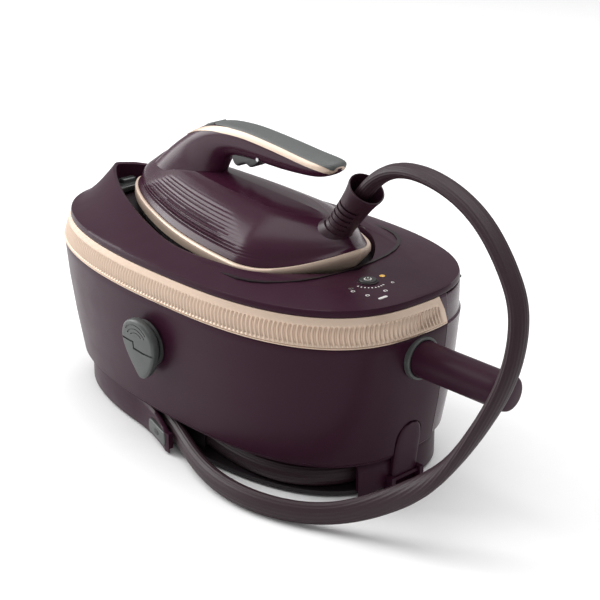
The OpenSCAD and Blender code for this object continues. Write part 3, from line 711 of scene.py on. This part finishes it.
def handle_point(s, ph, out=0.0):
    """s 0..1 from column to tip; ph 0 at the crown, +-pi under the handle."""
    q = np.array([np.interp(s * (len(hs) - 1), np.arange(len(hs)), hs[:, k]) for k in range(5)])
    top_p, und, h = np.array([q[0], 0, q[1]]), np.array([q[2], 0, q[3]]), q[4]
    c, a = (top_p + und) / 2, (top_p - und) / 2
    al = np.linalg.norm(a)
    e = 2 / 2.7
    cu, su = math.cos(ph), math.sin(ph)
    u = math.copysign(abs(cu) ** e, cu)
    w = math.copysign(abs(su) ** e, su)
    pull = 1 - 0.16 * max(0.0, -u) ** 1.5
    return c + a * u * (1 + out / al) + np.array([0, w * h * pull * (1 + out / max(h, 3)), 0])


def handle_grid(s_list, phis, out=0.0):
    return np.array([[handle_point(s, p, out) for p in phis] for s in s_list])


def closed_patch(name, outer_g, inner_g, mat, body, **kw):
    m, n, _ = outer_g.shape
    verts = [I(*p) for p in outer_g.reshape(-1, 3)] + [I(*p) for p in inner_g.reshape(-1, 3)]
    o = m * n
    f = []
    for j in range(m - 1):
        for i in range(n - 1):
            a, b, c, d = j * n + i, j * n + i + 1, (j + 1) * n + i + 1, (j + 1) * n + i
            f.append((a, b, c, d))
            f.append((o + d, o + c, o + b, o + a))
    rim = [i for i in range(n)] + [j * n + n - 1 for j in range(1,
            m)] + [(m - 1) * n + i for i in range(n - 2, -1, -1)] + [j * n for j in range(m - 2, 0, -1)]
    for a, b in zip(rim, rim[1:] + rim[:1]):
        f.append((a, o + a, o + b, b))
    return obj_from(name, verts, f, body, mat=mat, **kw)


s_all = np.linspace(0, 1, 130)
g = handle_grid(s_all, phi)
hv = [I(*p) for p in g.reshape(-1, 3)]
handle = obj_from("handle_shell", hv, grid_faces(len(s_all), NSEC), "iron", mat=M["iron"],
        replaces=("handle_core",))
sharp(handle, 60)


def phi_for(s, drop):
    """Angle at which the side of the handle is drop mm below its crown."""
    ps = np.linspace(0.02, 2.2, 120)
    crown = handle_point(s, 0)
    q = np.array([handle_point(s, p) for p in ps])
    q0 = np.array([np.interp(s * (len(hs) - 1), np.arange(len(hs)), hs[:, k]) for k in range(5)])
    a = np.array([q0[0] - q0[2], 0, q0[1] - q0[3]])
    a /= np.linalg.norm(a)
    d = (crown - q) @ a
    return float(np.interp(drop, d, ps))


S0 = 0.17                                       # where the strip starts, as a share of the handle's length
s_strip = np.linspace(S0, 0.995, 110)
edge_lo = np.array([phi_for(v, np.interp(v, [S0, 0.26, 0.36, 0.9, 1], [0.8, 4.4, 6.8, 6.6,
        3.2])) for v in s_strip])
lin = np.linspace(-1, 1, 41)
edge_hi = np.array([phi_for(v, np.interp(v, [S0, 0.26, 0.36, 0.9, 1], [0.5, 1.6, 2.5, 2.6,
        1.5])) for v in s_strip])
side_lin = np.linspace(0, 1, 13)
for sgn, tag in ((-1, "near"), (1, "far")):
    keep = s_strip < 0.975
    band_o = np.array([[handle_point(v, sgn * (hi + (lo - hi) * l), 0.5) for l in side_lin] for v, lo,
            hi in zip(s_strip[keep], edge_lo[keep], edge_hi[keep])])
    band_i = np.array([[handle_point(v, sgn * (hi + (lo - hi) * l), -1.0) for l in side_lin] for v, lo,
            hi in zip(s_strip[keep], edge_lo[keep], edge_hi[keep])])
    strip = closed_patch("handle_strip_" + tag, band_o, band_i, M["satin_gold"], "iron",
            replaces=("handle_trim",))
    sharp(strip, 50)
s_tip = np.linspace(0.93, 0.995, 24)
lo_tip = np.array([phi_for(v, np.interp(v, [0.9, 1], [6.6, 3.2])) for v in s_tip])
tip = closed_patch("handle_strip_tip", np.array([[handle_point(v, l * lo, 0.48) for l in lin] for v,
        lo in zip(s_tip, lo_tip)]),
                   np.array([[handle_point(v, l * lo, -1.0) for l in lin] for v, lo in zip(s_tip, lo_tip)]),
                   M["satin_gold"], "iron")
sharp(tip, 50)
s_grip = np.linspace(0.31, 0.962, 350)
edge_g = np.array([phi_for(v, np.interp(v, [0.31, 0.33, 0.40, 0.9, 0.945, 0.962], [0.5, 1.7, 2.7, 2.8, 2.0,
        0.5])) for v in s_grip])
lin_g = np.linspace(-1, 1, 91)
arc_s = np.concatenate([[0], np.cumsum(np.linalg.norm(np.diff([handle_point(v, 0) for v in s_grip], axis=0),
        axis=1))])
og, ig = [], []
for a_len, v, lo in zip(arc_s, s_grip, edge_g):
    row = []
    for l in lin_g:
        p0 = handle_point(v, l * lo, 0.0)
        w = p0[1]
        d1, d2 = (a_len + w * 1.1) / 2.6, (a_len - w * 1.1) / 2.6
        weave = (0.16 * abs(math.sin(math.pi * d1)) ** 0.7 * abs(math.sin(math.pi * d2)) ** 0.7
                 if abs(l) < 0.93 else 0.05)
        row.append(handle_point(v, l * lo, 0.62 + weave))
    og.append(row)
    ig.append([handle_point(v, l * lo, 0.1) for l in lin_g])
grip = closed_patch("handle_grip_pad", np.array(og), np.array(ig), M["grip"], "iron", replaces=("handle_grip",))
sharp(grip, 60)

# ---------------------------------------------------------------- hose boot with open mouth and root collar
BA = math.radians(34.4)


def boot_place(u, v, w):
    x, y, z = u, v, w
    x, z = x * math.cos(BA) + z * math.sin(BA), -x * math.sin(BA) + z * math.cos(BA)
    return IW(x + 221.1, y, z + 28.5)


prof = [(-4, 8.8), (-4, 12.5), (3, 17.5), (7, 14.6), (10, 12.6), (13, 11.2), (16, 10.3), (20, 10.0), (24,
        10.3), (38, 10.9), (46, 11.6), (52, 12.5),
        (56, 13.4), (57.6, 13.5), (58.1, 13.1), (57.8, 12.5), (54, 11.6), (48, 10.0), (40, 9.0), (20.5, 8.8)]
boot = ring_lathe("hose_boot_flared", prof, boot_place, "iron", M["boot"], n=128, replaces=("hose_boot",))
slots = []
for k in range(6):
    h = 15.5 + 4.9 * k
    for sgn in (1, -1):
        pts = [(a, h + 2.4 * math.sin(a)) for a in np.linspace(-0.95, 0.95, 13)]
        ring = []
        for a, hh in pts:
            r0 = 9.6 if h > 17 else 9.9
            r1 = 16.5
            ang = sgn * math.pi / 2 + a
            ring.append((ang, hh, r0, r1))
        verts = []
        for ang, hh, r0, r1 in ring:
            for r, dz in ((r0, -0.95), (r1, -0.95), (r1, 0.95), (r0, 0.95)):
                verts.append(W(*boot_place(r * math.cos(ang), r * math.sin(ang), hh + dz)))
        slots.append(obj_from("slotcut", verts, grid_faces(len(ring), 4), None))
cut(boot, slots)
sharp(boot, 35)

# ---------------------------------------------------------------- trigger
iron_side = lambda u, v, w: IW(u, w, v)
trig = prism("trigger_lobed", rounded([(119, 64), (121, 58.8), (125.5, 57.3), (130.5, 60), (134.5, 61.3),
        (139.5, 60.2), (144.5, 62.5), (150, 67), (154.5, 69.5),
             (153.5, 72.3), (144, 70.5), (122, 67.5)], 5), iron_side, -5.9, 5.9, "trigger", M["black"],
             bevel=1.4, replaces=("steam_trigger",))

# ---------------------------------------------------------------- post
post = lathe("post_rounded", [(146, 0.01), (146, 12.9), (157.2, 12.9), (157.6, 12.3), (158.4, 12.3), (158.8,
        12.95), (225, 12.8), (233.4, 12.7), (235.2, 12.0), (236, 10.6), (236, 0.01)],
             post_place, "base", M["shell"], replaces=("storage_post", "post_cap"))
collar = ring_lathe("post_ring", [(155.0, 13.1), (155.2, 15.6), (158.4, 15.3), (159.2, 14.6), (159.2, 13.6),
        (158.0, 13.1)], post_place, "base", M["grey"], replaces=("post_collar",))

# ---------------------------------------------------------------- plinth over the hose channel
def plinth_point(th, d, z):
    x, y = oval_at(th, NOSE - 23.5 - d, TAIL - 16.5 - d, HALF - 14 - d)
    near = (y < 0) & (x > -64)
    y = np.where(near, y - 12 * ((np.minimum(x, -8) + 64) / 56) ** 2, y)
    return np.stack([x, y, np.full_like(x, z)], 1)


a_start = angle_of_y(-27.5, HALF - 14)
a_stop = angle_of_x(-3.2, NOSE - 23.5, TAIL - 16.5, -1)
th_p = even_angles(300, a_start, a_stop)[0]
prof_p = [(3.0, 5.3), (-0.1, 5.3), (-0.1, 2.3), (-0.5, 2.0), (-0.9, 2.8), (-0.9, 12), (-0.8, 19.5), (-0.2,
        22.4), (1.6, 24.6), (3.0, 24.7)]
p_rows = np.array([plinth_point(th_p, d, z) for d, z in prof_p])
near_end = np.clip((p_rows[:, :, 0] + 62) / 55, 0, 1) * (p_rows[:, :, 1] < -40)
p_rows[:, :, 2] -= np.maximum(0, p_rows[:, :, 2] - 17.2) * near_end ** 1.5
plinth = sweep("plinth_wall", p_rows, "base", M["shell"], False, replaces=("channel_skirt",))


def latch_place(u, v, w):
    a = math.radians(-16)
    x, y = u, w
    return (x * math.cos(a) - y * math.sin(a) - 22, x * math.sin(a) + y * math.cos(a) - 89.6, v + 11.4)


cut(plinth, [prism("cutl", rrect(0, 0, 32.6, 11.4, 3.6), latch_place, -10, 10, None, None, bevel=0)])
sharp(plinth, 35)
latch = prism("latch_button", rrect(0, 0, 31.8, 10.6, 3.4), latch_place, -2.7, 1.0, "hose_key", M["grey"],
        bevel=0.9, replaces=("hose_latch",))
mark = prism("latch_mark", [(4.2 * math.cos(a), 2.3 * math.sin(a)) for a in np.linspace(0, 2 * math.pi,
        33)[:-1]], latch_place, -2.95, -2.3, "hose_key", M["dark_grey"], bevel=0.1)

# ---------------------------------------------------------------- descaling knob
shield = rounded([(-3, -26), (3, -25.5), (10, -19), (16.5, -8), (19, 2), (17.5, 11), (11, 17.5), (3, 20.5),
        (-5.5, 20), (-13.5, 16), (-18, 9), (-19, 1),
                  (-15.5, -9), (-9, -19)], 6)
knob = prism("descaling_knob", shield, knob_place, 4.7, 11.9, "drain_knob", M["grey"], bevel=2.4, segs=5,
        replaces=("decalc_knob",))

# ---------------------------------------------------------------- rear tab
def tab_x(z):
    return np.interp(z, [5.6, 28, 51], [TAIL - 13.4, TAIL - 10.2, TAIL - 6.3])


tab_out = []
tab_in = []
for z in np.linspace(5.6, 51, 40):
    t = (z - 5.6) / 45.4
    hw = 12.0 * (1 - max(0, (t - 0.55) / 0.45) ** 2.6) ** (1 / 2.6) if t < 1 else 0.3
    hw = max(hw, 0.3)
    tab_out.append([(tab_x(z) + 0.9 * math.sqrt(max(0, 1 - (c) ** 4)) - 0.9, hw * c,
            z) for c in np.linspace(-1, 1, 25)])
    tab_in.append([(tab_x(z) - 3.4, hw * c, z) for c in np.linspace(-1, 1, 25)])


def closed_patch_w(name, outer_g, inner_g, mat, body, **kw):
    m, n, _ = outer_g.shape
    verts = [W(*p) for p in outer_g.reshape(-1, 3)] + [W(*p) for p in inner_g.reshape(-1, 3)]
    o = m * n
    f = []
    for j in range(m - 1):
        for i in range(n - 1):
            a, b, c, d = j * n + i, j * n + i + 1, (j + 1) * n + i + 1, (j + 1) * n + i
            f.append((a, b, c, d))
            f.append((o + d, o + c, o + b, o + a))
    rim = [i for i in range(n)] + [j * n + n - 1 for j in range(1,
            m)] + [(m - 1) * n + i for i in range(n - 2, -1, -1)] + [j * n for j in range(m - 2, 0, -1)]
    for a, b in zip(rim, rim[1:] + rim[:1]):
        f.append((a, o + a, o + b, b))
    return obj_from(name, verts, f, body, mat=mat, **kw)


tab_hole = [(-12.7, 20), (12.7, 20)] + [(12.7 * math.cos(a),
        38.5 + 13.3 * math.sin(a)) for a in np.linspace(0, math.pi, 24)]
cut(lower, [prism("tabcut", tab_hole, lambda u, v, w: (w, u, v), 138, 170, None, None, bevel=0)])
sharp(lower, 30)
tab = closed_patch_w("rear_tab", np.array(tab_out), np.array(tab_in), M["shell"], "rear_clip",
        replaces=("rear_latch",))
sharp(tab, 40)

# ---------------------------------------------------------------- water tank
tank_rows = ring_grid([(z, *shell_size(z, 0.2)) for z in (31, 40, 50, 60, 70, 80, 90, 100, 110, 118)] +
                      [(z, NOSE - 1.4, TAIL - 1.4, HALF - 1.4) for z in (119.5, 130, 138)] + [(139.4,
                      NOSE - 1.8, TAIL - 1.8, HALF - 1.8), (140, NOSE - 2.8, TAIL - 2.8, HALF - 2.8)],
                      even_angles(361)[0][:-1])
m_, n_, _ = tank_rows.shape
tank = obj_from("tank_shell", [W(*p) for r in tank_rows for p in r], grid_faces(m_, n_), None, mat=M["tank"])
low = solid_box(BAY_X + 1, 200, BAY_Y + 1, 200, 20, 127.5)
ell = [(BAY_X + 1, 78), (97, 78), (97, BAY_Y + 1), (200, BAY_Y + 1), (200, 200), (BAY_X + 1, 200)]
high = prism("high", ell, flat_place(), 60, 150, None, None, bevel=0)
cut(low, [high], "UNION")
cut(tank, [low], "INTERSECT")
sharp(tank, 30)
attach(tank, "tank")
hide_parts("water_tank")

# ---------------------------------------------------------------- rear corner between band and tank
def corner_ends(f, r, b, z):
    lean = 19 + (BAND1 - z) * 0.38
    return angle_of_y(min(lean, 27.4) + 0.25, HALF), angle_of_y(28.2, HALF)


corner_rows = ring_grid([(119.3, NOSE, TAIL - 3, HALF - 3), (119.3, NOSE, TAIL - 0.4, HALF - 0.2), (121, NOSE,
        TAIL + 0.1, HALF), (130, NOSE, TAIL - 0.3, HALF),
                         (139, NOSE, TAIL - 1.3, HALF - 1), (141.0, NOSE, TAIL - 1.9, HALF - 1.6), (141.0,
                         NOSE, TAIL - 5, HALF - 5)], np.linspace(0, 1, 12), corner_ends)
corner = sweep("rear_corner", corner_rows, "base", M["tank"], False)

# ---------------------------------------------------------------- controls
deck_mesh = upper.data
deck_tree = BVHTree.FromPolygons([v.co.copy() for v in deck_mesh.vertices],
        [tuple(p.vertices) for p in deck_mesh.polygons])


def deck_z(x, y):
    hit = deck_tree.ray_cast(W(x, y, 200), Vector((0, 0, -1)))
    return hit[0].z / MM if hit[0] else 149.0


BTN = (114.0, -10.0)
zb0 = deck_z(*BTN)


def on_deck(u, v, w):
    """Local control coordinates laid onto the deck."""
    x, y = BTN[0] + u, BTN[1] + v
    return x, y, deck_z(x, y) + w


flat_btn = lambda u, v, w: (BTN[0] + u, BTN[1] + v, zb0 + w)
ring = ring_lathe("key_ring", [(-1.5, 6.1), (0.5, 6.1), (0.75, 6.35), (0.75, 6.9), (0.35, 7.5), (-1.5, 7.7)],
        flat_btn, "base", M["dock"], replaces=("power_ring",))
btn = lathe("power_key_cap", [(-6, 0.01), (-6, 5.95), (0.9, 5.95), (1.35, 5.6), (1.5, 5.0), (1.3, 3.0), (1.2,
        0.01)], flat_btn, "power_key", M["dark_grey"], replaces=("power_button",))


def arc_mark(name, r0, r1, a0, a1, z0, z1, place, body, mat, n=24):
    ang = np.radians(np.linspace(a0, a1, n))
    out = [(r1 * math.cos(a), r1 * math.sin(a)) for a in ang] + [(r0 * math.cos(a),
            r0 * math.sin(a)) for a in ang[::-1]]
    o = prism(name, out, place, z0, z1, body, mat, bevel=0)
    return o


VIEW_TURN = 42                                  # the printed marks read from the near rear corner
arc_mark("power_symbol_arc", 2.1, 2.75, 90 + VIEW_TURN + 35, 90 + VIEW_TURN + 325, 1.2, 1.62, flat_btn,
        "power_key", M["pale"])
c0, s0 = math.cos(math.radians(90 + VIEW_TURN)), math.sin(math.radians(90 + VIEW_TURN))
bar = [(c0 * a - s0 * b, s0 * a + c0 * b) for a, b in ((0.9, -0.3), (3.4, -0.3), (3.4, 0.3), (0.9, 0.3))]
sym = prism("power_symbol_bar", bar, flat_btn, 1.2, 1.64, "power_key", M["pale"], bevel=0)
lamp_at = lambda x, y: (lambda u, v, w: (x + u, y + v, deck_z(x, y) + w))
dome = [(-1.2, 0.01), (-1.2, 2.0), (0.15, 2.0), (0.5, 1.5), (0.62, 0.8), (0.65, 0.01)]
lathe("amber_lamp", dome, lamp_at(114, 4), "base", M["amber"], n=40, replaces=("ready_lens",))
lathe("scale_lamp", dome, lamp_at(116, -28), "base", M["dark_lens"], n=40, replaces=("calc_lens",))
lb = prism("bar_lamp", rrect(0, 0, 2.4, 7.8, 1.0), lamp_at(140.5, -22), -1.0, 0.45, "base", M["pale"],
        bevel=0.3, replaces=("light_bar",))
for k, a in enumerate(np.linspace(-78, 18, 9)):
    arc_mark("tick_%d" % k, 11.2, 12.6, a - 2.2, a + 2.2, -0.2, 0.14, on_deck, "base", M["pale"], n=4)
for k, (x, y, r) in enumerate(((6.5, -20.5, 1.5), (17.5, -17.5, 1.5), (19.5, -2.5, 1.5), (12.5, 11.5, 1.2))):
    arc_mark("panel_mark_%d" % k, r * 0.55, r, 20, 340, -0.2, 0.14, (lambda x,
            y: (lambda u, v, w: on_deck(u + x, v + y, w)))(x, y), "base", M["pale"], n=20)

# ---------------------------------------------------------------- nose key, front button
fb = [(87.7, 67), (100.3, 67), (100.3, 83.2), (98, 84.2), (91, 81.4), (87.7, 79.2)]
fbn = prism("front_button_cap", fb, iron_side, -6.3, 6.3, "front_key", M["black"], bevel=1.0,
        replaces=("front_button",))
key = prism("carry_key", rrect(-172.25, 0, 7.3, 13.8, 2.6), flat_place(), 143.6, 155.6, "carry_key", M["pad"],
        bevel=1.4, replaces=("carry_lock",))
pad = prism("nose_pad", rounded([(-186.6, 0), (-182, -8.5), (-172, -17), (-163, -23.5), (-158.5, -20), (-160,
        -10), (-160.5, 0), (-160, 10), (-158.5, 20),
            (-163, 23.5), (-172, 17), (-182, 8.5)], 6), flat_place(), 147.6, 152.4, "base", M["pad"], bevel=1.2)
cut(pad, [solid_box(-176.3, -168.2, -7.3, 7.3, 140, 160)])
sharp(pad, 35)

# ---------------------------------------------------------------- knob details: split slot and arrow rings
def knob_groove(pts, width, depth=1.3):
    out = []
    p = [Vector((a, b)) for a, b in pts]
    left, right_side = [], []
    for i, q in enumerate(p):
        d = (p[min(i + 1, len(p) - 1)] - p[max(i - 1, 0)]).normalized()
        nrm = Vector((-d.y, d.x)) * width / 2
        left.append(tuple(q + nrm))
        right_side.append(tuple(q - nrm))
    return prism("groove", left + right_side[::-1], knob_place, 11.9 - depth, 15, None, None, bevel=0)


cut(knob, [knob_groove([(-17.5, 3.0), (-6.5, 2.4)], 1.5), knob_groove([(6.0, -3.6), (17.5, -3.0)], 1.5)])
cut(knob, [prism("groove", [(-7.3, 3.1), (-5.6, 1.6), (-5.4, -3.6), (6.6, -4.4), (6.6, -2.8), (-3.9, -2.0),
        (-4.2, 3.1)], knob_place, 10.2, 15, None, None, bevel=0)])
arrows = []
for r, a0, a1 in ((15.6, 40, 140), (12.4, 35, 145), (9.4, 48, 132)):
    ang = np.radians(np.linspace(a0, a1, 22))
    arrows.append(prism("groove", [((r + 0.42) * math.cos(a),
            1.5 + (r + 0.42) * math.sin(a)) for a in ang] + [((r - 0.42) * math.cos(a),
            1.5 + (r - 0.42) * math.sin(a)) for a in ang[::-1]],
                        knob_place, 11.4, 15, None, None, bevel=0))
cut(knob, arrows)
sharp(knob, 30)
hub = lathe("knob_seat", [(1.2, 0.01), (1.2, 17.6), (3.2, 17.2), (4.0, 16.0), (4.2, 0.01)], knob_place,
        "drain_plug", M["dark_grey"])

# ---------------------------------------------------------------- stage and light
bpy.ops.mesh.primitive_plane_add(size=8, location=(0, 0, 0))
floor = bpy.context.object
floor.name = "floor"
floor.data.materials.append(material("floor_paper", (0.93, 0.93, 0.93), 0.8, vary=0.01, bump=0.02, spec=0.1))


def area(name, loc, target, size, power, size_y=None):
    d = bpy.data.lights.new(name, "AREA")
    d.energy = power
    d.shape = "RECTANGLE"
    d.size, d.size_y = size, size_y or size
    o = bpy.data.objects.new(name, d)
    scene.collection.objects.link(o)
    o.location = loc
    o.rotation_euler = (Vector(target) - Vector(loc)).to_track_quat("-Z", "Y").to_euler()
    return o


WORLD_LIGHT = 0.52
world = bpy.data.worlds.new("studio")
scene.world = world
world.use_nodes = True
world.node_tree.nodes["Background"].inputs[0].default_value = (1, 1, 1, 1)
world.node_tree.nodes["Background"].inputs[1].default_value = WORLD_LIGHT
scene.view_settings.view_transform = "Standard"
area("left", (-1.7, -0.8, 1.0), (0, 0, 0.12), 1.3, 42, 1.7)
area("top", (0.0, 0.3, 2.0), (0, 0, 0.1), 2.2, 36)
